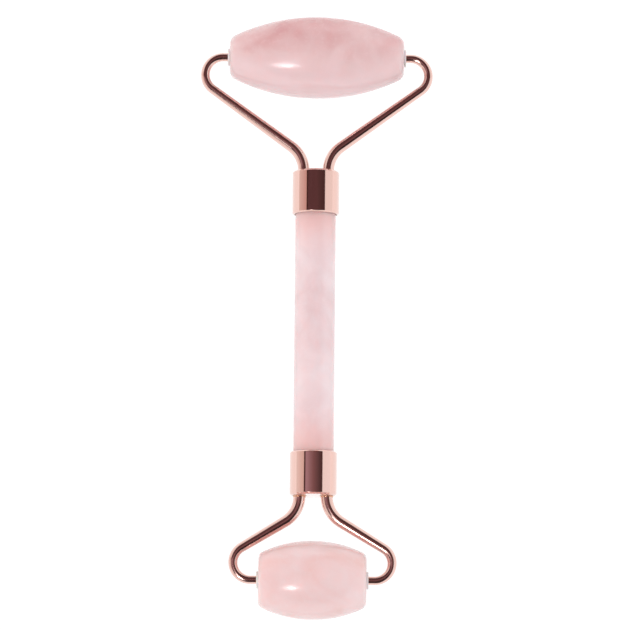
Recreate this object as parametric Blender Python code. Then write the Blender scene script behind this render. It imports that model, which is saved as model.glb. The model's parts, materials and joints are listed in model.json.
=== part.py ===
"""Face roller: a stone handle with a plated ferrule on each end, and in each ferrule a pair of tapered
arms whose ends are the axle pins of a barrel-shaped stone.

The roller is modelled level, with its handle along Y and its axles along X. It is then laid down so that
both stones touch the ground: the origin is the middle of the ground it covers, and +Z is up.
"""

import math
from typing import NamedTuple

import bmesh
import bpy
from mathutils import Matrix

MM = 0.001

HANDLE_RADIUS = 4.85 * MM
HANDLE_VISIBLE = 57.4 * MM  # between the two ferrules
HANDLE_INSERT = 6.0 * MM  # in each ferrule
HANDLE_CHAMFER = 0.4 * MM

FERRULE_RADIUS = 5.65 * MM
FERRULE_BORE = 5.1 * MM
FERRULE_LENGTH = 10.5 * MM
FERRULE_END_WALL = 0.8 * MM
FERRULE_CORNER = 0.5 * MM  # rounding at the closed end
FERRULE_LIP = 0.3 * MM  # rounding at the open end
END_DISC = 1.1 * MM  # radius of the plain disc between the arms, on both sides of the end wall

ARM_HOLE = 1.55 * MM
ARM_TAIL = 3.2 * MM  # length of arm inside the ferrule, from its closed end
PIN_RADIUS = 1.0 * MM
PIN_DEPTH = 5.0 * MM  # how far a pin reaches into the stone

STONE_BORE = 1.75 * MM
BUSHING_BORE = 1.1 * MM
BUSHING_SLEEVE_LENGTH = 6.0 * MM
FLANGE_RADIUS = 2.05 * MM
FLANGE_THICKNESS = 0.5 * MM
FLANGE_EDGE = 0.1 * MM

BRAZE_WIDTH = 0.2 * MM
BRAZE_HEIGHT = 0.3 * MM

POTTING_SETBACK = 0.6 * MM  # from the ferrule's open rim to the edge of the epoxy
CONTACT_GAP = 0.05 * MM  # between pieces that are glued, pressed or brazed together


class End(NamedTuple):
    """One end of the roller. Lengths along the handle are counted outwards from the ferrule's closed end."""

    name: str
    outward: int  # +1 where the end points along +Y, -1 where it points along -Y
    stone_radius: float
    stone_half_length: float
    belly_radius: float  # of the barrel's long arc
    corner_radius: float  # between the belly and the flat end
    axle_reach: float  # from the ferrule to the axle
    arm_spread: float  # from the handle's axis to an arm's centre, at the ferrule
    arm_stub: float  # straight length outside the ferrule
    bend_radius: float  # of the arm's outward bend
    loop_radius: float  # of the loop that turns the arm inwards to its pin
    half_width: float  # from the handle's axis to the loop's outermost centre line
    root_radius: float  # of the arm's section at the ferrule


LARGE = End(
    name="large",
    outward=1,
    stone_radius=9.83 * MM,
    stone_half_length=21.03 * MM,
    belly_radius=45.6 * MM,
    corner_radius=2.3 * MM,
    axle_reach=27.9 * MM,
    arm_spread=2.95 * MM,
    arm_stub=0.2 * MM,
    bend_radius=7.3 * MM,
    loop_radius=4.35 * MM,
    half_width=26.95 * MM,
    root_radius=1.4 * MM,
)
SMALL = End(
    name="small",
    outward=-1,
    stone_radius=9.38 * MM,
    stone_half_length=12.85 * MM,
    belly_radius=28.0 * MM,
    corner_radius=1.6 * MM,
    axle_reach=20.2 * MM,
    arm_spread=3.25 * MM,
    arm_stub=0.1 * MM,
    bend_radius=7.25 * MM,
    loop_radius=4.15 * MM,
    half_width=18.95 * MM,
    root_radius=1.48 * MM,
)
SIDES = {"left": -1, "right": 1}  # as seen from above, with the large end away from the viewer

STONE_STEPS = 48
FITTING_STEPS = 40
SMALL_STEPS = 24
SMOOTH_BELOW = math.radians(30)

TURN_TO_X = (0, math.radians(90), 0)


def turn_outward(end):
    """Rotation that points a turned piece's axis, local Z, away from the handle."""
    return (math.radians(-90 * end.outward), 0, 0)


def clear_scene():
    for obj in list(bpy.data.objects):
        bpy.data.objects.remove(obj)


def linear(hex_colour):
    """An sRGB hex colour as linear RGBA."""
    channels = [int(hex_colour[i : i + 2], 16) / 255 for i in (0, 2, 4)]
    return [c / 12.92 if c <= 0.04045 else ((c + 0.055) / 1.055) ** 2.4 for c in channels] + [1]


def make_material(name, colour, roughness, metallic=0.0):
    material = bpy.data.materials.new(name)
    material.use_nodes = True
    shader = material.node_tree.nodes["Principled BSDF"]
    shader.inputs["Base Color"].default_value = linear(colour)
    shader.inputs["Roughness"].default_value = roughness
    shader.inputs["Metallic"].default_value = metallic
    return material


def make_materials():
    return {
        "rose_quartz": make_material("rose_quartz", "E8C4C5", 0.15),
        "rose_gold_plate": make_material("rose_gold_plate", "E8BBAA", 0.08, 1.0),
        "braze_plate": make_material("braze_plate", "DDA080", 0.2, 1.0),
        "white_nylon": make_material("white_nylon", "EDEAEA", 0.4),
        "epoxy": make_material("epoxy", "D9CDBE", 0.3),
    }


def add_empty(name, parent=None, location=(0, 0, 0), rotation=(0, 0, 0)):
    empty = bpy.data.objects.new(name, None)
    bpy.context.scene.collection.objects.link(empty)
    empty.parent = parent
    empty.location = location
    empty.rotation_euler = rotation
    return empty


def add_piece(name, data, material, parent, location=(0, 0, 0), rotation=(0, 0, 0)):
    piece = bpy.data.objects.new(name, data)
    bpy.context.scene.collection.objects.link(piece)
    data.materials.append(material)
    piece.parent = parent
    piece.location = location
    piece.rotation_euler = rotation
    return piece


def arc(centre, radius, start, end, steps):
    """Points on an arc from start to end, in degrees, both ends included."""
    angles = [math.radians(start + (end - start) * i / steps) for i in range(steps + 1)]
    return [(centre[0] + radius * math.cos(a), centre[1] + radius * math.sin(a)) for a in angles]


def turned_mesh(name, outline, steps, closed=False):
    """A solid of revolution about Z from (height, radius) points. An open outline gets a flat disc at each end."""
    bm = bmesh.new()
    rim = [bm.verts.new((radius, 0, height)) for height, radius in outline]
    edges = [bm.edges.new(pair) for pair in zip(rim, rim[1:])]
    if closed:
        edges.append(bm.edges.new((rim[-1], rim[0])))
    bmesh.ops.spin(
        bm,
        geom=rim + edges,
        cent=(0, 0, 0),
        axis=(0, 0, 1),
        angle=math.tau,
        steps=steps,
        use_merge=True,
    )
    if not closed:
        open_edges = [edge for edge in bm.edges if edge.is_boundary]
        bmesh.ops.edgeloop_fill(bm, edges=open_edges)
    bmesh.ops.recalc_face_normals(bm, faces=bm.faces)
    mesh = bpy.data.meshes.new(name)
    bm.to_mesh(mesh)
    bm.free()
    mesh.shade_smooth()
    mesh.set_sharp_from_angle(angle=SMOOTH_BELOW)
    return mesh


def barrel_outline(end):
    """Closed outline of a bored barrel: belly arc, rounded corners, flat ends and the bore."""
    corner = end.corner_radius
    corner_x = end.stone_half_length - corner
    belly_y = end.stone_radius - end.belly_radius
    corner_y = belly_y + math.sqrt((end.belly_radius - corner) ** 2 - corner_x**2)
    lean = math.degrees(math.atan2(corner_x, corner_y - belly_y))
    first_corner = arc((-corner_x, corner_y), corner, 180, 90 + lean, 4)
    belly = arc((0, belly_y), end.belly_radius, 90 + lean, 90 - lean, 16)
    last_corner = arc((corner_x, corner_y), corner, 90 - lean, 0, 4)
    bore = [(end.stone_half_length, STONE_BORE), (-end.stone_half_length, STONE_BORE)]
    return first_corner + belly[1:-1] + last_corner + bore


def handle_outline():
    half = HANDLE_VISIBLE / 2 + HANDLE_INSERT
    face = HANDLE_RADIUS - HANDLE_CHAMFER
    shoulder = half - HANDLE_CHAMFER
    return [(-half, face), (-shoulder, HANDLE_RADIUS), (shoulder, HANDLE_RADIUS), (half, face)]


def ferrule_outline():
    """From the middle of the closed end, over the outside and round the lip, to the middle of the end wall inside."""
    corner = arc((-FERRULE_CORNER, FERRULE_RADIUS - FERRULE_CORNER), FERRULE_CORNER, 0, 90, 3)
    lip_height = FERRULE_LIP - FERRULE_LENGTH
    lip = arc((lip_height, FERRULE_RADIUS - FERRULE_LIP), FERRULE_LIP, 90, 180, 2)
    inside = [(-FERRULE_LENGTH, FERRULE_BORE), (-FERRULE_END_WALL, FERRULE_BORE)]
    return [(0, END_DISC)] + corner + lip + inside + [(-FERRULE_END_WALL, END_DISC)]


def potting_outline():
    """A plug behind the end wall, with a thin skirt round the handle's end."""
    front = -FERRULE_END_WALL - CONTACT_GAP
    back = HANDLE_INSERT - FERRULE_LENGTH + CONTACT_GAP
    edge = POTTING_SETBACK - FERRULE_LENGTH
    outside = FERRULE_BORE - CONTACT_GAP
    inside = HANDLE_RADIUS + CONTACT_GAP
    plug_front = [(front, END_DISC), (front, outside)]
    skirt = [(edge, outside), (edge, inside)]
    return plug_front + skirt + [(back, inside), (back, END_DISC)]


def bushing_outline():
    """Closed outline of a flanged sleeve. Height 0 is the stone's end face, and the flange stands on it."""
    top = FLANGE_THICKNESS
    sleeve = STONE_BORE - CONTACT_GAP
    flange = [
        (top, BUSHING_BORE),
        (top, FLANGE_RADIUS - FLANGE_EDGE),
        (top - FLANGE_EDGE, FLANGE_RADIUS),
        (CONTACT_GAP, FLANGE_RADIUS),
    ]
    pressed_in = [
        (CONTACT_GAP, sleeve),
        (-BUSHING_SLEEVE_LENGTH, sleeve),
        (-BUSHING_SLEEVE_LENGTH, BUSHING_BORE),
    ]
    return flange + pressed_in


def braze_outline(arm_radius):
    """Closed outline of a hollow fillet round an arm where it meets the ferrule's end."""
    inner = arm_radius + CONTACT_GAP
    hollow = arc((1, 1), 1, 270, 180, 3)
    slope = [(CONTACT_GAP + BRAZE_HEIGHT * y, inner + BRAZE_WIDTH * x) for x, y in hollow]
    return [(CONTACT_GAP, inner)] + slope


def arm_path(end):
    """Centre line of an arm from its tail to its pin, as (across, along) points, and its radius at each point."""
    bend = (end.arm_spread + end.bend_radius, end.arm_stub)
    loop = (end.half_width - end.loop_radius, end.axle_reach - end.loop_radius)
    run, rise = loop[0] - bend[0], loop[1] - bend[1]
    both_radii = end.bend_radius + end.loop_radius
    leg = math.degrees(math.atan2(rise, run) - math.asin(both_radii / math.hypot(run, rise)))

    tail = [(end.arm_spread, -ARM_TAIL), (end.arm_spread, 0)]
    tapered = arc(bend, end.bend_radius, 180, 90 + leg, 8) + arc(loop, end.loop_radius, leg - 90, 90, 14)
    pin = [(end.stone_half_length - PIN_DEPTH, end.axle_reach)]
    path = tail + tapered + pin

    lengths = [math.dist(a, b) for a, b in zip(path, path[1:])]
    travelled = [max(sum(lengths[:i]) - ARM_TAIL, 0) for i in range(len(path))]
    taper_length = travelled[-2]
    radii = [
        end.root_radius + (PIN_RADIUS - end.root_radius) * min(way / taper_length, 1)
        for way in travelled
    ]
    return path, radii


def arm_curve(end, side):
    """A round bar along the arm's path, bent to the given side."""
    curve = bpy.data.curves.new(f"{end.name}_arm", "CURVE")
    curve.dimensions = "3D"
    curve.bevel_depth = PIN_RADIUS
    curve.bevel_resolution = 4
    curve.use_fill_caps = True
    path, radii = arm_path(end)
    spline = curve.splines.new("POLY")
    spline.points.add(len(path) - 1)
    for point, (across, along), radius in zip(spline.points, path, radii):
        point.co = (side * across, end.outward * along, 0, 1)
        point.radius = radius / PIN_RADIUS
    return curve


def ferrule_y(end):
    """Where an end's ferrule is closed, along the level handle."""
    return end.outward * (HANDLE_VISIBLE / 2 + FERRULE_LENGTH)


def axle_y(end):
    return ferrule_y(end) + end.outward * end.axle_reach


def lay_down():
    """The frame that holds the level roller, tipped and raised until both stones touch the ground."""
    drop = LARGE.stone_radius - SMALL.stone_radius
    tilt = math.asin(drop / (axle_y(LARGE) - axle_y(SMALL)))
    middle = ((axle_y(LARGE) + axle_y(SMALL)) * math.cos(tilt) + drop) / 2
    height = LARGE.stone_radius - axle_y(LARGE) * math.sin(tilt)
    return add_empty("resting_frame", None, (0, -middle, height), (tilt, 0, 0))


def add_hole_cutter(end, side_name, parent):
    """A hidden bar that opens the ferrule's end wall and the epoxy behind it for one arm."""
    top = FERRULE_END_WALL
    bottom = -ARM_TAIL - CONTACT_GAP
    outline = [(bottom, ARM_HOLE), (top, ARM_HOLE)]
    cutter = bpy.data.objects.new(
        f"{end.name}_{side_name}_hole", turned_mesh("arm_hole", outline, SMALL_STEPS)
    )
    bpy.context.scene.collection.objects.link(cutter)
    cutter.parent = parent
    cutter.location = (SIDES[side_name] * end.arm_spread, ferrule_y(end), 0)
    cutter.rotation_euler = turn_outward(end)
    cutter.hide_render = True
    cutter.display_type = "WIRE"
    return cutter


def cut(piece, cutters):
    for cutter in cutters:
        boolean = piece.modifiers.new(cutter.name, "BOOLEAN")
        boolean.operation = "DIFFERENCE"
        boolean.solver = "EXACT"
        boolean.object = cutter


def add_handle(frame, materials):
    mesh = turned_mesh("handle_stone", handle_outline(), FITTING_STEPS)
    add_piece("handle_stone", mesh, materials["rose_quartz"], frame, rotation=turn_outward(LARGE))


def add_ferrule(end, frame, materials):
    """The ferrule, the epoxy inside it, and the holes through both for the arms."""
    seat = {"parent": frame, "location": (0, ferrule_y(end), 0), "rotation": turn_outward(end)}
    shell = turned_mesh(f"{end.name}_ferrule", ferrule_outline(), FITTING_STEPS)
    ferrule = add_piece(f"{end.name}_ferrule", shell, materials["rose_gold_plate"], **seat)
    plug = turned_mesh(f"{end.name}_potting", potting_outline(), FITTING_STEPS)
    potting = add_piece(f"{end.name}_potting", plug, materials["epoxy"], **seat)
    cutters = [add_hole_cutter(end, side_name, frame) for side_name in SIDES]
    cut(ferrule, cutters)
    cut(potting, cutters)


def add_arms(end, frame, materials):
    fillet = turned_mesh(f"{end.name}_braze", braze_outline(end.root_radius), SMALL_STEPS, closed=True)
    for side_name, side in SIDES.items():
        root = (0, ferrule_y(end), 0)
        arm = arm_curve(end, side)
        add_piece(f"{end.name}_arm_{side_name}", arm, materials["rose_gold_plate"], frame, root)
        foot = (side * end.arm_spread, ferrule_y(end), 0)
        braze = fillet.copy()
        add_piece(
            f"{end.name}_braze_{side_name}", braze, materials["braze_plate"], frame, foot, turn_outward(end)
        )


def add_roller(end, frame, materials):
    """The stone and its two bushings, which turn together about the axle."""
    axle = add_empty(f"{end.name}_axle", frame, (0, axle_y(end), 0))
    barrel = turned_mesh(f"{end.name}_stone", barrel_outline(end), STONE_STEPS, closed=True)
    add_piece(f"{end.name}_stone", barrel, materials["rose_quartz"], axle, rotation=TURN_TO_X)
    for side_name, side in SIDES.items():
        bushing = turned_mesh("bushing", bushing_outline(), SMALL_STEPS, closed=True)
        if side < 0:
            bushing.transform(Matrix.Rotation(math.pi, 4, "X"))
        seat = (side * end.stone_half_length, 0, 0)
        add_piece(
            f"{end.name}_bushing_{side_name}", bushing, materials["white_nylon"], axle, seat, TURN_TO_X
        )


def main():
    clear_scene()
    materials = make_materials()
    frame = lay_down()
    add_handle(frame, materials)
    for end in (LARGE, SMALL):
        add_ferrule(end, frame, materials)
        add_arms(end, frame, materials)
        add_roller(end, frame, materials)


main()
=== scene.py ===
"""Rose quartz face roller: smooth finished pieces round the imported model, in a white light tent.

Every turned and bent piece is made again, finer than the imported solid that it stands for. The places come
from the frame: the ferrules' closed ends are its mounts, and the axles are its joints.
"""

import json
import math
from typing import NamedTuple

import bmesh
import bpy
from mathutils import Matrix, Vector


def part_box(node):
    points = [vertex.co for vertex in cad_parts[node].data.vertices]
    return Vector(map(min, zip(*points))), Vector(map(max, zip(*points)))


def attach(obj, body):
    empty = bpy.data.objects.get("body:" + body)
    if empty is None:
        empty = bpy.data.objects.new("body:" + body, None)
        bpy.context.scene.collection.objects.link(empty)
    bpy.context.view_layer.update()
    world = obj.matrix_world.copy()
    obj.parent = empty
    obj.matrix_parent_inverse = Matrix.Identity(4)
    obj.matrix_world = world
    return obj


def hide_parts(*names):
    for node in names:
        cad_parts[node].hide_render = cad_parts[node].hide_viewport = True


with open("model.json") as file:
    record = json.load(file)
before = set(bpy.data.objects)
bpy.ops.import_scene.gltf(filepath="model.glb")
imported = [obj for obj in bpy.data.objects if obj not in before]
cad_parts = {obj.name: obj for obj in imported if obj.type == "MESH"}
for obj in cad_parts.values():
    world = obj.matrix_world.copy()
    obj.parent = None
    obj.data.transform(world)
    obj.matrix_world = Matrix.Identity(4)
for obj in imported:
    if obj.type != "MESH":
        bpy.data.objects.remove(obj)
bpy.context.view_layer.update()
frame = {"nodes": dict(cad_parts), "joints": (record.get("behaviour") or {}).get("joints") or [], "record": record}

MOUNTS = {mount["name"]: mount for mount in frame["record"]["mounts"]}
JOINTS = {joint["name"]: joint for joint in frame["joints"]}

MM = 0.001

HANDLE_EDGE = 0.4 * MM
FERRULE_BORE = 5.1 * MM
FERRULE_LENGTH = 10.5 * MM
FERRULE_END_WALL = 0.8 * MM
FERRULE_CORNER = 0.42 * MM  # bevel at the closed end
FERRULE_LIP = 0.3 * MM  # bevel at the open end
FERRULE_EASE = 0.1 * MM  # rounding of the bevels' own edges
ARM_HOLE = 1.55 * MM
ARM_TAIL = 3.2 * MM  # length of arm inside the ferrule, from its closed end
PIN_RADIUS = 1.0 * MM
PIN_DEPTH = 5.0 * MM  # how far a pin reaches into the stone
STONE_BORE = 1.75 * MM
BUSHING_BORE = 1.1 * MM
BUSHING_SLEEVE_LENGTH = 6.0 * MM
FLANGE_RADIUS = 2.05 * MM
FLANGE_THICKNESS = 0.5 * MM
FLANGE_EDGE = 0.12 * MM
BRAZE_WIDTH = 0.2 * MM
BRAZE_HEIGHT = 0.3 * MM
CONTACT_GAP = 0.05 * MM

# Steps round a turned piece or a bent bar.
STONE_STEPS = 192
FITTING_STEPS = 160
SMALL_STEPS = 64
BAR_SIDES = 48

# Steps along the arcs of an outline or a path.
BELLY_STEPS = 64
CORNER_STEPS = 14
EDGE_STEPS = 6
EASE_STEPS = 5
BRAZE_STEPS = 10
BEND_STEPS = 36
LOOP_STEPS = 64

SMOOTH_BELOW = math.radians(35)
SEAM = 0.001 * MM  # points of a turned piece that are nearer than this become one
STRAIGHT = 0.8 * MM  # a longer straight gets a ring near each end, to hold its shading
HOLD = 0.03 * MM  # that ring's distance from the end

# Sizes of the patterns in the materials and on them.
WISP_SIZE = 3.2 * MM  # of the milky wisps in the quartz
GRAIN_SIZE = 0.8 * MM  # of its pale grains
LINE_WIDTH = 0.5 * MM  # of the polishing lines, drawn coarser than real ones so that they show
LINE_STRETCH = 0.03  # of their pattern along a piece, which draws its spots out into lines
LINE_HEIGHT = 0.004 * MM
LINE_ROUGHNESS = 0.05  # the most that they add
NYLON_GRAIN = 0.25 * MM  # also drawn coarser than the real one
BUBBLE_SIZE = 0.6 * MM  # in the epoxy


class EndShape(NamedTuple):
    """How one end's stone and arms are shaped."""

    belly_radius: float  # of the barrel's long arc
    corner_radius: float  # between the belly and the flat end
    arm_spread: float  # from the handle's axis to an arm's centre, at the ferrule
    arm_stub: float  # straight length outside the ferrule
    bend_radius: float  # of the arm's outward bend
    loop_radius: float  # of the loop that turns the arm inwards to its pin
    half_width: float  # from the handle's axis to the loop's outermost centre line
    root_radius: float  # of the arm's section at the ferrule


END_SHAPES = {
    "large": EndShape(
        belly_radius=45.6 * MM,
        corner_radius=2.3 * MM,
        arm_spread=2.95 * MM,
        arm_stub=0.2 * MM,
        bend_radius=7.3 * MM,
        loop_radius=4.35 * MM,
        half_width=26.95 * MM,
        root_radius=1.4 * MM,
    ),
    "small": EndShape(
        belly_radius=28.0 * MM,
        corner_radius=1.6 * MM,
        arm_spread=3.25 * MM,
        arm_stub=0.1 * MM,
        bend_radius=7.25 * MM,
        loop_radius=4.15 * MM,
        half_width=18.95 * MM,
        root_radius=1.48 * MM,
    ),
}
SIDES = {"left": -1, "right": 1}


def linear(hex_colour):
    """An sRGB hex colour as linear RGBA."""
    channels = [int(hex_colour[i : i + 2], 16) / 255 for i in (0, 2, 4)]
    return [c / 12.92 if c <= 0.04045 else ((c + 0.055) / 1.055) ** 2.4 for c in channels] + [1]


def add_node(tree, kind, inputs=None, **settings):
    """Adds a node. An input's value may be another node's output, which is then linked to it."""
    node = tree.nodes.new(kind)
    for name, value in settings.items():
        setattr(node, name, value)
    for key, value in (inputs or {}).items():
        if isinstance(value, bpy.types.NodeSocket):
            tree.links.new(value, node.inputs[key])
        else:
            node.inputs[key].default_value = value
    return node


# ---------------------------------------------------------------- finishes


def start_finish(name, **constants):
    """A material with a Principled shader whose constant sockets are set, as (material, tree, shader)."""
    material = bpy.data.materials.new(name)
    material.use_nodes = True
    tree = material.node_tree
    shader = tree.nodes["Principled BSDF"]
    for key, value in constants.items():
        shader.inputs[key.replace("_", " ")].default_value = value
    return material, tree, shader


def shade_along_y(tree, paleness, along, middle_y, change):
    """The ramp's place, changed by so much for each metre from middle_y along Y: painted shade that makes one side
    of a stone a darker pink.
    """
    from_middle = add_node(tree, "ShaderNodeMath", {0: along, 1: middle_y}, operation="SUBTRACT")
    return add_node(
        tree,
        "ShaderNodeMath",
        {0: from_middle.outputs[0], 1: change, 2: paleness},
        operation="MULTIPLY_ADD",
    ).outputs[0]


def shade_rod_ends(tree, colour, along, shade_colour, middle_y, start, end):
    """The colour, turned to the shade colour between two distances from middle_y, either way along Y: painted
    shade at a rod's ends, where the caps keep light out.
    """
    from_middle = add_node(tree, "ShaderNodeMath", {0: along, 1: middle_y}, operation="SUBTRACT")
    either_way = add_node(tree, "ShaderNodeMath", {0: from_middle.outputs[0]}, operation="ABSOLUTE")
    depth = add_node(
        tree,
        "ShaderNodeMapRange",
        {"Value": either_way.outputs[0], "From Min": start, "From Max": end},
        interpolation_type="SMOOTHSTEP",
    )
    return add_node(
        tree,
        "ShaderNodeMix",
        {0: depth.outputs["Result"], 6: colour, 7: linear(shade_colour)},
        data_type="RGBA",
    ).outputs[2]


def polished_rose_quartz(name, milk, blush, shadow, cloud_size, contrast=1.0, side_shade=None, end_shade=None):
    """Tumbled and polished rose quartz. Milky clouds hang inside it, so that its edges look soft and pale,
    and its skin is glassy with hardly a scratch. Thin wisps and a few fine pale grains break up the clouds.
    The two optional arguments hold the last arguments of the two helpers above: one paints shade across a stone,
    darker towards one side, and the other paints shade on a rod, a deeper pink towards its caps."""
    material, tree, shader = start_finish(
        name,
        IOR=1.544,
        Subsurface_Weight=0.8,
        Subsurface_Radius=(1.0, 0.72, 0.7),
        Subsurface_Scale=5.0 * MM,
    )
    place = add_node(tree, "ShaderNodeTexCoord").outputs["Object"]
    clouds = add_node(
        tree,
        "ShaderNodeTexNoise",
        {"Vector": place, "Scale": 1 / cloud_size, "Detail": 4, "Roughness": 0.5, "Distortion": 0.6},
    )
    wisps = add_node(
        tree,
        "ShaderNodeTexNoise",
        {"Vector": place, "Scale": 1 / WISP_SIZE, "Detail": 6, "Roughness": 0.6, "Distortion": 1.4},
    )
    along = add_node(tree, "ShaderNodeSeparateXYZ", {0: place}).outputs["Y"]
    paleness = add_node(
        tree,
        "ShaderNodeMath",
        {0: clouds.outputs["Fac"], 1: contrast, 2: 0.5 - 0.5 * contrast},
        operation="MULTIPLY_ADD",
    ).outputs[0]
    # Painted shade: one side of the stone is turned a darker pink.
    if side_shade:
        paleness = shade_along_y(tree, paleness, along, *side_shade)
    body = add_node(tree, "ShaderNodeValToRGB", {"Fac": paleness})
    body.color_ramp.elements[0].position = 0.25
    body.color_ramp.elements[0].color = linear(shadow)
    body.color_ramp.elements[1].position = 0.75
    body.color_ramp.elements[1].color = linear(milk)
    middle = body.color_ramp.elements.new(0.5)
    middle.color = linear(blush)
    veins = add_node(
        tree,
        "ShaderNodeMapRange",
        {"Value": wisps.outputs["Fac"], "From Min": 0.56, "From Max": 0.74, "To Min": 0.0, "To Max": 0.35},
    )
    grains = add_node(
        tree,
        "ShaderNodeTexNoise",
        {"Vector": place, "Scale": 1 / GRAIN_SIZE, "Detail": 2, "Roughness": 0.5},
    )
    flecks = add_node(
        tree,
        "ShaderNodeMapRange",
        {"Value": grains.outputs["Fac"], "From Min": 0.56, "From Max": 0.72, "To Min": 0.0, "To Max": 0.2},
    )
    paler = add_node(
        tree,
        "ShaderNodeMath",
        {0: veins.outputs["Result"], 1: flecks.outputs["Result"]},
        operation="MAXIMUM",
    )
    colour = add_node(
        tree,
        "ShaderNodeMix",
        {0: paler.outputs[0], 6: body.outputs["Color"], 7: linear(milk)},
        data_type="RGBA",
    ).outputs[2]
    # Painted shade: a rod turns a deeper pink towards its caps, where they keep light out.
    if end_shade:
        colour = shade_rod_ends(tree, colour, along, *end_shade)
    tree.links.new(colour, shader.inputs["Base Color"])
    polish = add_node(
        tree,
        "ShaderNodeMapRange",
        {"Value": wisps.outputs["Fac"], "From Min": 0.3, "From Max": 0.7, "To Min": 0.15, "To Max": 0.22},
    )
    tree.links.new(polish.outputs["Result"], shader.inputs["Roughness"])
    return material


def rose_gold(name, colour, roughness, line_depth, pattern=None):
    """Rose gold electroplate over polished brass or zinc: a warm mirror with faint lines from the polishing
    wheel, under the thin clear lacquer that keeps it from tarnishing and pales its edges. The lines run
    along Y, or follow the attribute named by pattern."""
    material, tree, shader = start_finish(
        name,
        Metallic=1.0,
        Base_Color=linear(colour),
        Coat_Weight=0.8,
        Coat_Roughness=0.04,
        Sheen_Weight=0.25,
        Sheen_Roughness=0.35,
    )
    if pattern is None:
        place = add_node(tree, "ShaderNodeTexCoord").outputs["Object"]
        stretched = add_node(tree, "ShaderNodeMapping", {"Vector": place, "Scale": (1, LINE_STRETCH, 1)})
        pattern = stretched.outputs["Vector"]
    else:
        pattern = add_node(tree, "ShaderNodeAttribute", attribute_name=pattern).outputs["Vector"]
    lines = add_node(
        tree,
        "ShaderNodeTexNoise",
        {"Vector": pattern, "Scale": 1 / LINE_WIDTH, "Detail": 3, "Roughness": 0.6},
    )
    wear = add_node(
        tree,
        "ShaderNodeMapRange",
        {
            "Value": lines.outputs["Fac"],
            "From Min": 0.3,
            "From Max": 0.7,
            "To Min": roughness,
            "To Max": roughness + LINE_ROUGHNESS,
        },
    )
    tree.links.new(wear.outputs["Result"], shader.inputs["Roughness"])
    bump = add_node(
        tree,
        "ShaderNodeBump",
        {"Height": lines.outputs["Fac"], "Strength": line_depth, "Distance": LINE_HEIGHT},
    )
    tree.links.new(bump.outputs["Normal"], shader.inputs["Normal"])
    return material


def moulded_nylon():
    """White injection-moulded nylon: slightly waxy, with a fine grain from the mould that dulls it."""
    material, tree, shader = start_finish(
        "moulded_white_nylon",
        IOR=1.53,
        Base_Color=linear("EDE7E6"),
        Subsurface_Weight=0.2,
        Subsurface_Scale=0.6 * MM,
    )
    place = add_node(tree, "ShaderNodeTexCoord").outputs["Object"]
    grain = add_node(tree, "ShaderNodeTexNoise", {"Vector": place, "Scale": 1 / NYLON_GRAIN, "Detail": 2})
    skin = add_node(
        tree,
        "ShaderNodeMapRange",
        {"Value": grain.outputs["Fac"], "From Min": 0.3, "From Max": 0.7, "To Min": 0.35, "To Max": 0.5},
    )
    tree.links.new(skin.outputs["Result"], shader.inputs["Roughness"])
    return material


def cured_epoxy():
    """Clear two-part epoxy, gone a little amber, glossy where it has flowed."""
    material, tree, shader = start_finish("cured_epoxy", IOR=1.55, Roughness=0.15)
    place = add_node(tree, "ShaderNodeTexCoord").outputs["Object"]
    bubbles = add_node(tree, "ShaderNodeTexNoise", {"Vector": place, "Scale": 1 / BUBBLE_SIZE, "Detail": 3})
    tone = add_node(tree, "ShaderNodeValToRGB", {"Fac": bubbles.outputs["Fac"]})
    tone.color_ramp.elements[0].color = linear("A98A74")
    tone.color_ramp.elements[1].color = linear("C9B29C")
    tree.links.new(tone.outputs["Color"], shader.inputs["Base Color"])
    return material


# ---------------------------------------------------------------- shapes


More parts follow.
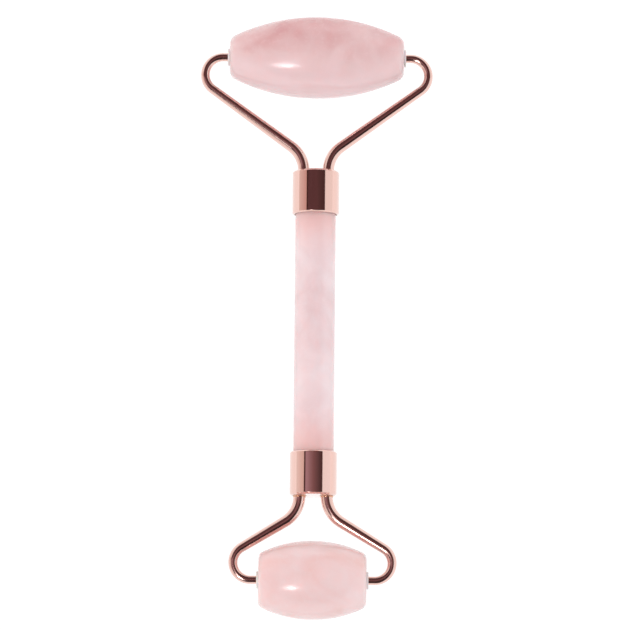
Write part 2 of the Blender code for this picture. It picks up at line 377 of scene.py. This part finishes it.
def turned_tree():
    """Turns an outline about Z. The outline is a chain of points in the XZ plane, radius along X."""
    tree = bpy.data.node_groups.new("turned_round", "GeometryNodeTree")
    tree.interface.new_socket("Outline", in_out="INPUT", socket_type="NodeSocketGeometry")
    tree.interface.new_socket("Steps", in_out="INPUT", socket_type="NodeSocketInt")
    tree.interface.new_socket("Finish", in_out="INPUT", socket_type="NodeSocketMaterial")
    tree.interface.new_socket("Solid", in_out="OUTPUT", socket_type="NodeSocketGeometry")
    given = add_node(tree, "NodeGroupInput").outputs
    rows = add_node(
        tree, "GeometryNodeAttributeDomainSize", {"Geometry": given["Outline"]}, component="MESH"
    )
    columns = add_node(tree, "FunctionNodeIntegerMath", {0: given["Steps"], 1: 1}, operation="ADD")
    sheet = add_node(
        tree,
        "GeometryNodeMeshGrid",
        {"Vertices X": rows.outputs["Point Count"], "Vertices Y": columns.outputs[0]},
    )
    index = add_node(tree, "GeometryNodeInputIndex").outputs[0]
    row = add_node(
        tree, "FunctionNodeIntegerMath", {0: index, 1: columns.outputs[0]}, operation="DIVIDE_FLOOR"
    )
    column = add_node(
        tree, "FunctionNodeIntegerMath", {0: index, 1: columns.outputs[0]}, operation="MODULO"
    )
    outline_point = add_node(
        tree,
        "GeometryNodeSampleIndex",
        {
            "Geometry": given["Outline"],
            "Value": add_node(tree, "GeometryNodeInputPosition").outputs[0],
            "Index": row.outputs[0],
        },
        data_type="FLOAT_VECTOR",
    )
    split = add_node(tree, "ShaderNodeSeparateXYZ", {0: outline_point.outputs[0]})
    share = add_node(tree, "ShaderNodeMath", {0: column.outputs[0], 1: given["Steps"]}, operation="DIVIDE")
    angle = add_node(tree, "ShaderNodeMath", {0: share.outputs[0], 1: math.tau}, operation="MULTIPLY")
    cosine = add_node(tree, "ShaderNodeMath", {0: angle.outputs[0]}, operation="COSINE")
    sine = add_node(tree, "ShaderNodeMath", {0: angle.outputs[0]}, operation="SINE")
    x = add_node(
        tree, "ShaderNodeMath", {0: cosine.outputs[0], 1: split.outputs["X"]}, operation="MULTIPLY"
    )
    y = add_node(tree, "ShaderNodeMath", {0: sine.outputs[0], 1: split.outputs["X"]}, operation="MULTIPLY")
    turned = add_node(
        tree, "ShaderNodeCombineXYZ", {"X": x.outputs[0], "Y": y.outputs[0], "Z": split.outputs["Z"]}
    )
    rolled = add_node(
        tree,
        "GeometryNodeSetPosition",
        {"Geometry": sheet.outputs["Mesh"], "Position": turned.outputs["Vector"]},
    )
    closed = add_node(
        tree, "GeometryNodeMergeByDistance", {"Geometry": rolled.outputs["Geometry"], "Distance": SEAM}
    )
    finish_tree(tree, closed.outputs["Geometry"], given["Finish"])
    return tree


def bent_bar_tree():
    """Sweeps a round, tapered section along a path. It stores where each point is on the bar, as its length
    along the bar and its place round the section, for the finish to follow."""
    tree = bpy.data.node_groups.new("bent_bar", "GeometryNodeTree")
    tree.interface.new_socket("Path", in_out="INPUT", socket_type="NodeSocketGeometry")
    for name in ("Root Radius", "Pin Radius", "Taper Start", "Taper End"):
        tree.interface.new_socket(name, in_out="INPUT", socket_type="NodeSocketFloat")
    tree.interface.new_socket("Sides", in_out="INPUT", socket_type="NodeSocketInt")
    tree.interface.new_socket("Finish", in_out="INPUT", socket_type="NodeSocketMaterial")
    tree.interface.new_socket("Solid", in_out="OUTPUT", socket_type="NodeSocketGeometry")
    given = add_node(tree, "NodeGroupInput").outputs
    travelled = add_node(tree, "GeometryNodeSplineParameter").outputs["Length"]
    taper = add_node(
        tree,
        "ShaderNodeMapRange",
        {
            "Value": travelled,
            "From Min": given["Taper Start"],
            "From Max": given["Taper End"],
            "To Min": given["Root Radius"],
            "To Max": given["Pin Radius"],
        },
    )
    marked_path = add_node(
        tree,
        "GeometryNodeStoreNamedAttribute",
        {"Geometry": given["Path"], "Name": "bar_length", "Value": travelled},
    )
    section = add_node(
        tree, "GeometryNodeCurvePrimitiveCircle", {"Resolution": given["Sides"], "Radius": 1.0}
    )
    marked_section = add_node(
        tree,
        "GeometryNodeStoreNamedAttribute",
        {
            "Geometry": section.outputs["Curve"],
            "Name": "bar_side",
            "Value": add_node(tree, "GeometryNodeInputPosition").outputs[0],
        },
        data_type="FLOAT_VECTOR",
    )
    swept = add_node(
        tree,
        "GeometryNodeCurveToMesh",
        {
            "Curve": marked_path.outputs["Geometry"],
            "Profile Curve": marked_section.outputs["Geometry"],
            "Scale": taper.outputs["Result"],
            "Fill Caps": True,
        },
    )
    side = add_node(
        tree, "GeometryNodeInputNamedAttribute", {"Name": "bar_side"}, data_type="FLOAT_VECTOR"
    ).outputs[0]
    length = add_node(tree, "GeometryNodeInputNamedAttribute", {"Name": "bar_length"}).outputs[0]
    across = add_node(tree, "ShaderNodeVectorMath", {0: side, "Scale": PIN_RADIUS}, operation="SCALE")
    slow = add_node(tree, "ShaderNodeMath", {0: length, 1: LINE_STRETCH}, operation="MULTIPLY")
    along = add_node(tree, "ShaderNodeCombineXYZ", {"Z": slow.outputs[0]})
    on_bar = add_node(
        tree, "ShaderNodeVectorMath", {0: across.outputs["Vector"], 1: along.outputs["Vector"]}
    )
    mapped = add_node(
        tree,
        "GeometryNodeStoreNamedAttribute",
        {"Geometry": swept.outputs["Mesh"], "Name": "on_bar", "Value": on_bar.outputs["Vector"]},
        data_type="FLOAT_VECTOR",
    )
    finish_tree(tree, mapped.outputs["Geometry"], given["Finish"])
    return tree


def finish_tree(tree, geometry, material):
    """Ends a tree: shaded smooth, made real and given its finish."""
    smooth = add_node(tree, "GeometryNodeSetShadeSmooth", {"Geometry": geometry})
    real = add_node(tree, "GeometryNodeRealizeInstances", {"Geometry": smooth.outputs["Geometry"]})
    dressed = add_node(
        tree, "GeometryNodeSetMaterial", {"Geometry": real.outputs["Geometry"], "Material": material}
    )
    add_node(tree, "NodeGroupOutput", {"Solid": dressed.outputs["Geometry"]})


def link_object(name, data):
    made = bpy.data.objects.new(name, data)
    bpy.context.scene.collection.objects.link(made)
    return made


def take_mesh(made):
    """The object's mesh as its modifiers leave it, as plain data. The object goes."""
    graph = bpy.context.evaluated_depsgraph_get()
    mesh = bpy.data.meshes.new_from_object(
        made.evaluated_get(graph), preserve_all_data_layers=True, depsgraph=graph
    )
    bpy.data.objects.remove(made)
    return mesh


def run_tree(tree, data, **inputs):
    """What a geometry-nodes tree makes of a mesh or curve, with its faces turned outwards."""
    made = link_object("source", data)
    modifier = made.modifiers.new(tree.name, "NODES")
    modifier.node_group = tree
    for socket in tree.interface.items_tree:
        key = socket.name.replace(" ", "_").lower()
        if key in inputs:
            modifier[socket.identifier] = inputs[key]
    mesh = take_mesh(made)
    bm = bmesh.new()
    bm.from_mesh(mesh)
    bmesh.ops.recalc_face_normals(bm, faces=bm.faces)
    bm.to_mesh(mesh)
    bm.free()
    mesh.set_sharp_from_angle(angle=SMOOTH_BELOW)
    return mesh


def arc(centre, radius, start, end, steps):
    """Points on an arc from start to end, in degrees, both ends included."""
    angles = [math.radians(start + (end - start) * i / steps) for i in range(steps + 1)]
    return [(centre[0] + radius * math.cos(a), centre[1] + radius * math.sin(a)) for a in angles]


def hold_straights(outline):
    """Adds a point close to each end of every long straight, so that shading stays true along it."""
    held = []
    for start, end in zip(outline, outline[1:]):
        held.append(start)
        length = math.dist(start, end)
        if length > STRAIGHT:
            for share in (HOLD / length, 1 - HOLD / length):
                held.append(tuple(a + (b - a) * share for a, b in zip(start, end)))
    return held + outline[-1:]


def turn(outline, steps, finish, closed=False):
    """A solid of revolution about Z from (height, radius) points."""
    if closed:
        outline = outline + outline[:1]
    outline = hold_straights(outline)
    chain = bpy.data.meshes.new("outline")
    links = [(i, i + 1) for i in range(len(outline) - 1)]
    chain.from_pydata([(radius, 0, height) for height, radius in outline], links, [])
    return run_tree(TURNED, chain, steps=steps, finish=finish)


def barrel_outline(shape, radius, half_length):
    """Closed outline of a bored barrel: belly arc, rounded corners, flat ends and the bore."""
    corner = shape.corner_radius
    corner_x = half_length - corner
    belly_y = radius - shape.belly_radius
    corner_y = belly_y + math.sqrt((shape.belly_radius - corner) ** 2 - corner_x**2)
    lean = math.degrees(math.atan2(corner_x, corner_y - belly_y))
    first_corner = arc((-corner_x, corner_y), corner, 180, 90 + lean, CORNER_STEPS)
    belly = arc((0, belly_y), shape.belly_radius, 90 + lean, 90 - lean, BELLY_STEPS)
    last_corner = arc((corner_x, corner_y), corner, 90 - lean, 0, CORNER_STEPS)
    bore = [(half_length, STONE_BORE), (-half_length, STONE_BORE)]
    return first_corner + belly[1:-1] + last_corner + bore


def handle_outline(radius, half_length):
    """From the middle of one end face to the middle of the other, with small rounded edges."""
    edge_x = half_length - HANDLE_EDGE
    edge_y = radius - HANDLE_EDGE
    first = arc((-edge_x, edge_y), HANDLE_EDGE, 180, 90, EDGE_STEPS)
    last = arc((edge_x, edge_y), HANDLE_EDGE, 90, 0, EDGE_STEPS)
    return [(-half_length, 0)] + first + last + [(half_length, 0)]


def bevel(radius, size):
    """A 45 degree bevel, with its edges eased, from an end face at height 0 to the side below it."""
    ease = FERRULE_EASE
    back = ease * math.tan(math.radians(45 / 2))
    inner = arc((-ease, radius - size - back), ease, 0, 45, EASE_STEPS)
    outer = arc((-size - back, radius - ease), ease, 45, 90, EASE_STEPS)
    return inner + outer


def ferrule_outline(radius):
    """From the middle of the closed end, down the outside and round the lip, to the inside's middle."""
    corner = bevel(radius, FERRULE_CORNER)
    lip = [(-FERRULE_LENGTH - height, r) for height, r in reversed(bevel(radius, FERRULE_LIP))]
    inside = [(-FERRULE_LENGTH, FERRULE_BORE), (-FERRULE_END_WALL, FERRULE_BORE)]
    return [(0, 0)] + corner + lip + inside + [(-FERRULE_END_WALL, 0)]


def bushing_outline():
    """Closed outline of a flanged sleeve. Height 0 is the stone's end face, and the flange stands on it."""
    top = FLANGE_THICKNESS
    sleeve = STONE_BORE - CONTACT_GAP
    edge = arc((top - FLANGE_EDGE, FLANGE_RADIUS - FLANGE_EDGE), FLANGE_EDGE, 0, 90, EDGE_STEPS)
    pressed_in = [
        (CONTACT_GAP, FLANGE_RADIUS),
        (CONTACT_GAP, sleeve),
        (-BUSHING_SLEEVE_LENGTH, sleeve),
        (-BUSHING_SLEEVE_LENGTH, BUSHING_BORE),
    ]
    return [(top, BUSHING_BORE)] + edge + pressed_in


def braze_outline(arm_radius):
    """Closed outline of a hollow fillet round an arm where it meets the ferrule's end."""
    inner = arm_radius + CONTACT_GAP
    hollow = arc((1, 1), 1, 270, 180, BRAZE_STEPS)
    slope = [(CONTACT_GAP + BRAZE_HEIGHT * y, inner + BRAZE_WIDTH * x) for x, y in hollow]
    return [(CONTACT_GAP, inner)] + slope


def arm_path(shape, stone_half_length, axle_reach):
    """Centre line of an arm from its tail to its pin, as (across, along) points."""
    foot = (shape.arm_spread + shape.bend_radius, shape.arm_stub)
    loop = (shape.half_width - shape.loop_radius, axle_reach - shape.loop_radius)
    run, rise = loop[0] - foot[0], loop[1] - foot[1]
    both_radii = shape.bend_radius + shape.loop_radius
    leg = math.degrees(math.atan2(rise, run) - math.asin(both_radii / math.hypot(run, rise)))
    tail = [(shape.arm_spread, -ARM_TAIL), (shape.arm_spread, 0)]
    outward_bend = arc(foot, shape.bend_radius, 180, 90 + leg, BEND_STEPS)
    inward_loop = arc(loop, shape.loop_radius, leg - 90, 90, LOOP_STEPS)
    return tail + outward_bend + inward_loop + [(stone_half_length - PIN_DEPTH, axle_reach)]


def bend_bar(path, side, root_radius, finish):
    """The tapered arm along a path in the XZ plane, bent to the given side."""
    curve = bpy.data.curves.new("path", "CURVE")
    curve.dimensions = "3D"
    spline = curve.splines.new("POLY")
    spline.points.add(len(path) - 1)
    for point, (across, along) in zip(spline.points, path):
        point.co = (side * across, 0, along, 1)
    lengths = [math.dist(a, b) for a, b in zip(path, path[1:])]
    return run_tree(
        BENT_BAR,
        curve,
        root_radius=root_radius,
        pin_radius=PIN_RADIUS,
        taper_start=ARM_TAIL,
        taper_end=sum(lengths[:-1]),
        sides=BAR_SIDES,
        finish=finish,
    )


def cut_holes(mesh, places, radius, bottom, top):
    """The mesh with round holes along Z through it."""
    body = link_object("body", mesh)
    cutters = []
    drill_outline = [(bottom, 0), (bottom, radius), (top, radius), (top, 0)]
    for x in places:
        drill = turn(drill_outline, SMALL_STEPS, mesh.materials[0])
        drill.transform(Matrix.Translation((x, 0, 0)))
        cutter = link_object("drill", drill)
        cut = body.modifiers.new("hole", "BOOLEAN")
        cut.operation = "DIFFERENCE"
        cut.object = cutter
        cutters.append(cutter)
    drilled = take_mesh(body)
    for cutter in cutters:
        bpy.data.objects.remove(cutter)
    drilled.set_sharp_from_angle(angle=SMOOTH_BELOW)
    return drilled


def add_piece(node, mesh, place, body):
    """A finished piece in its place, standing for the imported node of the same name."""
    mesh.transform(place)
    mesh.name = node + "_finished"
    piece = link_object(node + "_finished", mesh)
    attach(piece, body)
    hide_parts(node)


# ---------------------------------------------------------------- pieces


def half_size(node):
    """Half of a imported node's size along each axis."""
    low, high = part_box(node)
    return (high - low) / 2


def facing(origin, z_axis):
    """A matrix at origin whose X is the world's X and whose Z is the given direction."""
    x_axis = Vector((1, 0, 0))
    y_axis = z_axis.cross(x_axis).normalized()
    turned = Matrix((x_axis, y_axis, z_axis)).transposed().to_4x4()
    return Matrix.Translation(origin) @ turned


def handle_place():
    """The handle's middle, with Z along it towards the large end."""
    low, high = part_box("handle_stone")
    along = Vector(MOUNTS["large_ferrule_end"]["axis"])
    return facing((low + high) / 2, along)


def ferrule_place(name):
    """The middle of a ferrule's closed end, with Z outwards."""
    middle = handle_place().translation
    mount = MOUNTS[f"{name}_ferrule_end"]
    outward = Vector(mount["axis"]).normalized()
    reach = (Vector(mount["pos_m"]) - middle).dot(outward)
    return facing(middle + outward * reach, outward)


def add_handle(finish):
    """The stone rod, with its ends inside the ferrules."""
    half = half_size("handle_stone")
    rod = turn(handle_outline(half.x, half.y), FITTING_STEPS, finish)
    add_piece("handle_stone", rod, handle_place(), "handle_and_arms")


def add_ferrule(name, shape, finish):
    """A metal cap on the rod, with a hole for each arm in its closed end."""
    shell = turn(ferrule_outline(half_size(f"{name}_ferrule").x), FITTING_STEPS, finish)
    holes = [side * shape.arm_spread for side in SIDES.values()]
    shell = cut_holes(shell, holes, ARM_HOLE, -2 * FERRULE_END_WALL, FERRULE_END_WALL)
    add_piece(f"{name}_ferrule", shell, ferrule_place(name), "handle_and_arms")


def add_arms(name, shape, arm_finish, braze_finish):
    """One end's two arms, each with the braze round its root."""
    place = ferrule_place(name)
    axle = Vector(JOINTS[f"{name}_roller_spin"]["pos_m"])
    reach = (place.inverted() @ axle).z
    path = arm_path(shape, half_size(f"{name}_stone").x, reach)
    for side_name, side in SIDES.items():
        arm = bend_bar(path, side, shape.root_radius, arm_finish)
        add_piece(f"{name}_arm_{side_name}", arm, place, "handle_and_arms")
        fillet = turn(braze_outline(shape.root_radius), SMALL_STEPS, braze_finish, closed=True)
        foot = place @ Matrix.Translation((side * shape.arm_spread, 0, 0))
        add_piece(f"{name}_braze_{side_name}", fillet, foot, "handle_and_arms")


def add_roller(name, shape, stone_finish, bushing_finish):
    """A stone and its two bushings, on the body that spins."""
    half = half_size(f"{name}_stone")
    axle = Vector(JOINTS[f"{name}_roller_spin"]["pos_m"])
    body = f"{name}_roller"
    barrel = turn(barrel_outline(shape, half.z, half.x), STONE_STEPS, stone_finish, closed=True)
    along_x = Matrix.Translation(axle) @ Matrix.Rotation(math.radians(90), 4, "Y")
    add_piece(f"{name}_stone", barrel, along_x, body)
    for side_name, side in SIDES.items():
        bushing = turn(bushing_outline(), SMALL_STEPS, bushing_finish, closed=True)
        end_face = Matrix.Translation(axle + Vector((side * half.x, 0, 0)))
        outwards = Matrix.Rotation(math.radians(90 * side), 4, "Y")
        add_piece(f"{name}_bushing_{side_name}", bushing, end_face @ outwards, body)


def finish_potting(finish):
    """The epoxy shows only as a ring between the handle and each ferrule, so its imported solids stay."""
    for name in END_SHAPES:
        slots = frame["nodes"][f"{name}_potting"].data.materials
        slots.clear()
        slots.append(finish)


# ---------------------------------------------------------------- studio

CAMERA_DISTANCE = 1.05
CAMERA_ELEVATION = math.radians(82)
CAMERA_AIM = Vector((0.07, 0.27, 9.6)) * MM
CAMERA_ROLL = math.radians(0.52)
LENS_MM = 250
SENSOR_MM = 36
FLOOR_REACH = 3.0


def add_camera():
    """A long lens, nearly overhead, a little on the small roller's side."""
    data = bpy.data.cameras.new("camera")
    data.lens = LENS_MM
    data.sensor_width = SENSOR_MM
    camera = link_object("camera", data)
    back = Vector((0, -math.cos(CAMERA_ELEVATION), math.sin(CAMERA_ELEVATION)))
    camera.rotation_mode = "QUATERNION"
    roll = Matrix.Rotation(CAMERA_ROLL, 3, "Z").to_quaternion()
    camera.rotation_quaternion = back.to_track_quat("Z", "Y") @ roll
    camera.location = CAMERA_AIM + back * CAMERA_DISTANCE
    bpy.context.scene.camera = camera


# The tent's light by the angle from straight up towards +X, in degrees. The first colour is what the large
# end sees in its metal, and the second what the small end sees, where the tent's slot is less dark.
TENT = [
    (-180, (1.0, 1.0, 1.0), (1.0, 1.0, 1.0)),
    (-94, (1.0, 1.0, 1.0), (1.0, 1.0, 1.0)),
    (-88, (0.84, 0.73, 0.7), (0.92, 0.88, 0.86)),
    (-50, (0.67, 0.46, 0.43), (0.8, 0.65, 0.6)),
    (-47, (0.66, 0.45, 0.42), (0.78, 0.64, 0.6)),
    (-45.5, (0.05, 0.018, 0.016), (0.06, 0.022, 0.02)),
    (-41, (0.05, 0.018, 0.016), (0.06, 0.022, 0.02)),
    (-37, (0.105, 0.05, 0.055), (0.46, 0.31, 0.36)),
    (0, (0.115, 0.055, 0.06), (0.24, 0.13, 0.14)),
    (30, (0.085, 0.045, 0.046), (0.11, 0.065, 0.07)),
    (44, (0.07, 0.035, 0.035), (0.07, 0.035, 0.035)),
    (45.5, (0.06, 0.03, 0.03), (0.06, 0.03, 0.03)),
    (47, (0.97, 0.97, 0.97), (1.02, 1.04, 1.06)),
    (88, (1.0, 1.0, 1.0), (1.05, 1.07, 1.1)),
    (180, (1.0, 1.0, 1.0), (1.0, 1.0, 1.0)),
]
TENT_WALL = (0.95, 0.92, 0.91)  # the left wall's colour away from the tent's middle
TENT_FRONT_LIGHT = 0.25  # share of the slot's light that is left at the tent's front
LEFT_OF_SLOT = math.radians(-46)
SLOT_HALF_ANGLE = math.radians(45.5)

# Each of these is a start and an end, as the part of a direction that runs along Y.
TENT_SMALL_END = (0.145, 0.115)  # the large end's colours give way to the small end's
TENT_WALL_PALE = (0.2, 0.32)  # the left wall turns pale, at both ends
TENT_FRONT = (-0.3, 0.05)  # the slot brightens from its front
TENT_ENDS = (0.92, 1.0)  # everything fades to the tent's white ends


def tent_colours(tree, angle, column):
    """One column of TENT's colours, by the angle from straight up."""
    share = add_node(
        tree, "ShaderNodeMapRange", {"Value": angle, "From Min": -math.pi, "From Max": math.pi}
    )
    ramp = add_node(tree, "ShaderNodeValToRGB", {"Fac": share.outputs["Result"]})
    stops = ramp.color_ramp.elements
    for row in TENT[1:-1]:
        stops.new((row[0] + 180) / 360).color = (*row[column], 1)
    stops[0].color = (*TENT[0][column], 1)
    stops[-1].color = (*TENT[-1][column], 1)
    return ramp.outputs["Color"]


def pale_left_wall(tree, colour, angle, endwise):
    """The colour, with the left wall pale away from the tent's middle."""
    left = add_node(tree, "ShaderNodeMath", {0: angle, 1: LEFT_OF_SLOT}, operation="LESS_THAN")
    paling = add_node(
        tree,
        "ShaderNodeMapRange",
        {"Value": endwise, "From Min": TENT_WALL_PALE[0], "From Max": TENT_WALL_PALE[1]},
    )
    share = add_node(
        tree, "ShaderNodeMath", {0: left.outputs[0], 1: paling.outputs["Result"]}, operation="MULTIPLY"
    )
    return add_node(
        tree, "ShaderNodeMix", {0: share.outputs[0], 6: colour, 7: (*TENT_WALL, 1)}, data_type="RGBA"
    ).outputs[2]


def darken_slot_front(tree, colour, angle, along):
    """The colour, with the slot darker towards the tent's front."""
    off_middle = add_node(tree, "ShaderNodeMath", {0: angle}, operation="ABSOLUTE")
    off_slot = add_node(
        tree, "ShaderNodeMath", {0: off_middle.outputs[0], 1: SLOT_HALF_ANGLE}, operation="GREATER_THAN"
    )
    front_light = add_node(
        tree,
        "ShaderNodeMapRange",
        {
            "Value": along,
            "From Min": TENT_FRONT[0],
            "From Max": TENT_FRONT[1],
            "To Min": TENT_FRONT_LIGHT,
            "To Max": 1.0,
        },
    )
    light = add_node(
        tree,
        "ShaderNodeMath",
        {0: off_slot.outputs[0], 1: front_light.outputs["Result"]},
        operation="MAXIMUM",
    )
    return add_node(
        tree, "ShaderNodeVectorMath", {0: colour, "Scale": light.outputs[0]}, operation="SCALE"
    ).outputs["Vector"]


def add_tent():
    """A white tent with a dark slot overhead, where the camera looks in. The slot is darkest at its front,
    and the left wall is rosy in the middle and pale towards the ends."""
    world = bpy.data.worlds.new("light_tent")
    world.use_nodes = True
    tree = world.node_tree
    tree.nodes.clear()
    direction = add_node(tree, "ShaderNodeTexCoord").outputs["Generated"]
    split = add_node(tree, "ShaderNodeSeparateXYZ", {0: direction})
    along = split.outputs["Y"]
    endwise = add_node(tree, "ShaderNodeMath", {0: along}, operation="ABSOLUTE").outputs[0]
    angle = add_node(
        tree, "ShaderNodeMath", {0: split.outputs["X"], 1: split.outputs["Z"]}, operation="ARCTAN2"
    ).outputs[0]
    small_share = add_node(
        tree,
        "ShaderNodeMapRange",
        {"Value": along, "From Min": TENT_SMALL_END[0], "From Max": TENT_SMALL_END[1]},
    )
    sides = add_node(
        tree,
        "ShaderNodeMix",
        {
            0: small_share.outputs["Result"],
            6: tent_colours(tree, angle, 1),
            7: tent_colours(tree, angle, 2),
        },
        data_type="RGBA",
    ).outputs[2]
    sides = pale_left_wall(tree, sides, angle, endwise)
    sides = darken_slot_front(tree, sides, angle, along)
    end_share = add_node(
        tree,
        "ShaderNodeMapRange",
        {"Value": endwise, "From Min": TENT_ENDS[0], "From Max": TENT_ENDS[1]},
        interpolation_type="SMOOTHSTEP",
    )
    tent = add_node(
        tree,
        "ShaderNodeMix",
        {0: end_share.outputs["Result"], 6: sides, 7: (1, 1, 1, 1)},
        data_type="RGBA",
    )
    light = add_node(tree, "ShaderNodeBackground", {"Color": tent.outputs[2], "Strength": 1.0})
    add_node(tree, "ShaderNodeOutputWorld", {"Surface": light.outputs["Background"]})
    bpy.context.scene.world = world


def add_lamp(name, towards, distance, size, radiance, mirrored=True, width=None, lie_along=(1, 0, 0)):
    """A round softbox that shines on the roller from a direction, out of the camera's sight. With a width
    it is a long oval, which lies along the given direction. Metal and polish show it only if mirrored."""
    width = width or size
    data = bpy.data.lights.new(name, "AREA")
    data.shape = "ELLIPSE"
    data.size = size
    data.size_y = width
    area = math.pi * size * width / 4
    data.energy = radiance * math.pi * area
    lamp = link_object(name, data)
    back = Vector(towards).normalized()
    across = back.cross(Vector(lie_along)).normalized()
    turned = Matrix((across.cross(back), across, back)).transposed()
    lamp.location = back * distance
    lamp.rotation_mode = "QUATERNION"
    lamp.rotation_quaternion = turned.to_quaternion()
    lamp.visible_camera = False
    lamp.visible_glossy = mirrored


def add_floor():
    """A plain white table top that glows faintly, as a light table does, so that no hard shadow falls."""
    material, tree, shader = start_finish(
        "light_table",
        Base_Color=linear("5A5A5A"),
        Roughness=0.7,
        Specular_IOR_Level=0.1,
        Emission_Color=(1, 1, 1, 1),
        Emission_Strength=0.97,
    )
    mesh = bpy.data.meshes.new("floor")
    signs = [(-1, -1), (1, -1), (1, 1), (-1, 1)]
    mesh.from_pydata([(x * FLOOR_REACH, y * FLOOR_REACH, 0) for x, y in signs], [], [(0, 1, 2, 3)])
    mesh.materials.append(material)
    link_object("floor", mesh)


# ---------------------------------------------------------------- making it all

TURNED = turned_tree()
BENT_BAR = bent_bar_tree()

handle_middle = handle_place().translation.y
large_middle = JOINTS["large_roller_spin"]["pos_m"][1]
handle_quartz = polished_rose_quartz(
    "rose_quartz_rod",
    milk="EDDFE1",
    blush="E8D5D7",
    shadow="E2CACC",
    cloud_size=9 * MM,
    # Painted shade: the rod is a deeper pink towards the ferrules.
    end_shade=("EABFBB", handle_middle, 17 * MM, 32 * MM),
)
large_quartz = polished_rose_quartz(
    "rose_quartz_large",
    milk="EDD3D5",
    blush="E7CBCB",
    shadow="D6A3A4",
    cloud_size=11 * MM,
    contrast=0.6,
    # Painted shade: the large stone is a darker pink towards +Y, its top.
    side_shade=(large_middle, -24),
)
small_quartz = polished_rose_quartz(
    "rose_quartz_small", milk="EEDADA", blush="ECD0CF", shadow="EAC6C2", cloud_size=9 * MM
)
ferrule_plate = rose_gold("rose_gold_spun_cap", "EAC2B7", roughness=0.05, line_depth=0.8)
arm_plate = rose_gold("rose_gold_bent_bar", "EAC2B7", roughness=0.1, line_depth=0.2, pattern="on_bar")
braze_plate = rose_gold("plated_braze", "E0A582", roughness=0.2, line_depth=0.8)
nylon = moulded_nylon()

add_handle(handle_quartz)
for end_name, end_shape in END_SHAPES.items():
    add_ferrule(end_name, end_shape, ferrule_plate)
    add_arms(end_name, end_shape, arm_plate, braze_plate)
for end_name, quartz in (("large", large_quartz), ("small", small_quartz)):
    add_roller(end_name, END_SHAPES[end_name], quartz, nylon)
finish_potting(cured_epoxy())

add_floor()
add_tent()

# The key makes the bright spot on each stone, and the diffuser the glow round it. The strip is the long
# white line along a bar. The other two light the stones, and nothing mirrors them.
add_lamp("key", (-0.418, -0.625, 1), distance=1.2, size=0.22, radiance=14)
add_lamp("key_diffuser", (-0.425, -0.625, 1), distance=1.25, size=0.5, radiance=1.5)
add_lamp(
    "strip",
    (-0.32, -0.4, 1),
    distance=1.3,
    size=1.0,
    radiance=1.35,
    width=0.2,
    lie_along=(-0.5, -0.87, 0),
)
add_lamp("fill", (0, 0.02, 1), distance=1.4, size=1.6, radiance=1.79, mirrored=False)
add_lamp("back", (0, 1, 0.6), distance=1.3, size=1.2, radiance=0.8, mirrored=False)
add_camera()
bpy.context.scene.view_settings.view_transform = "Standard"
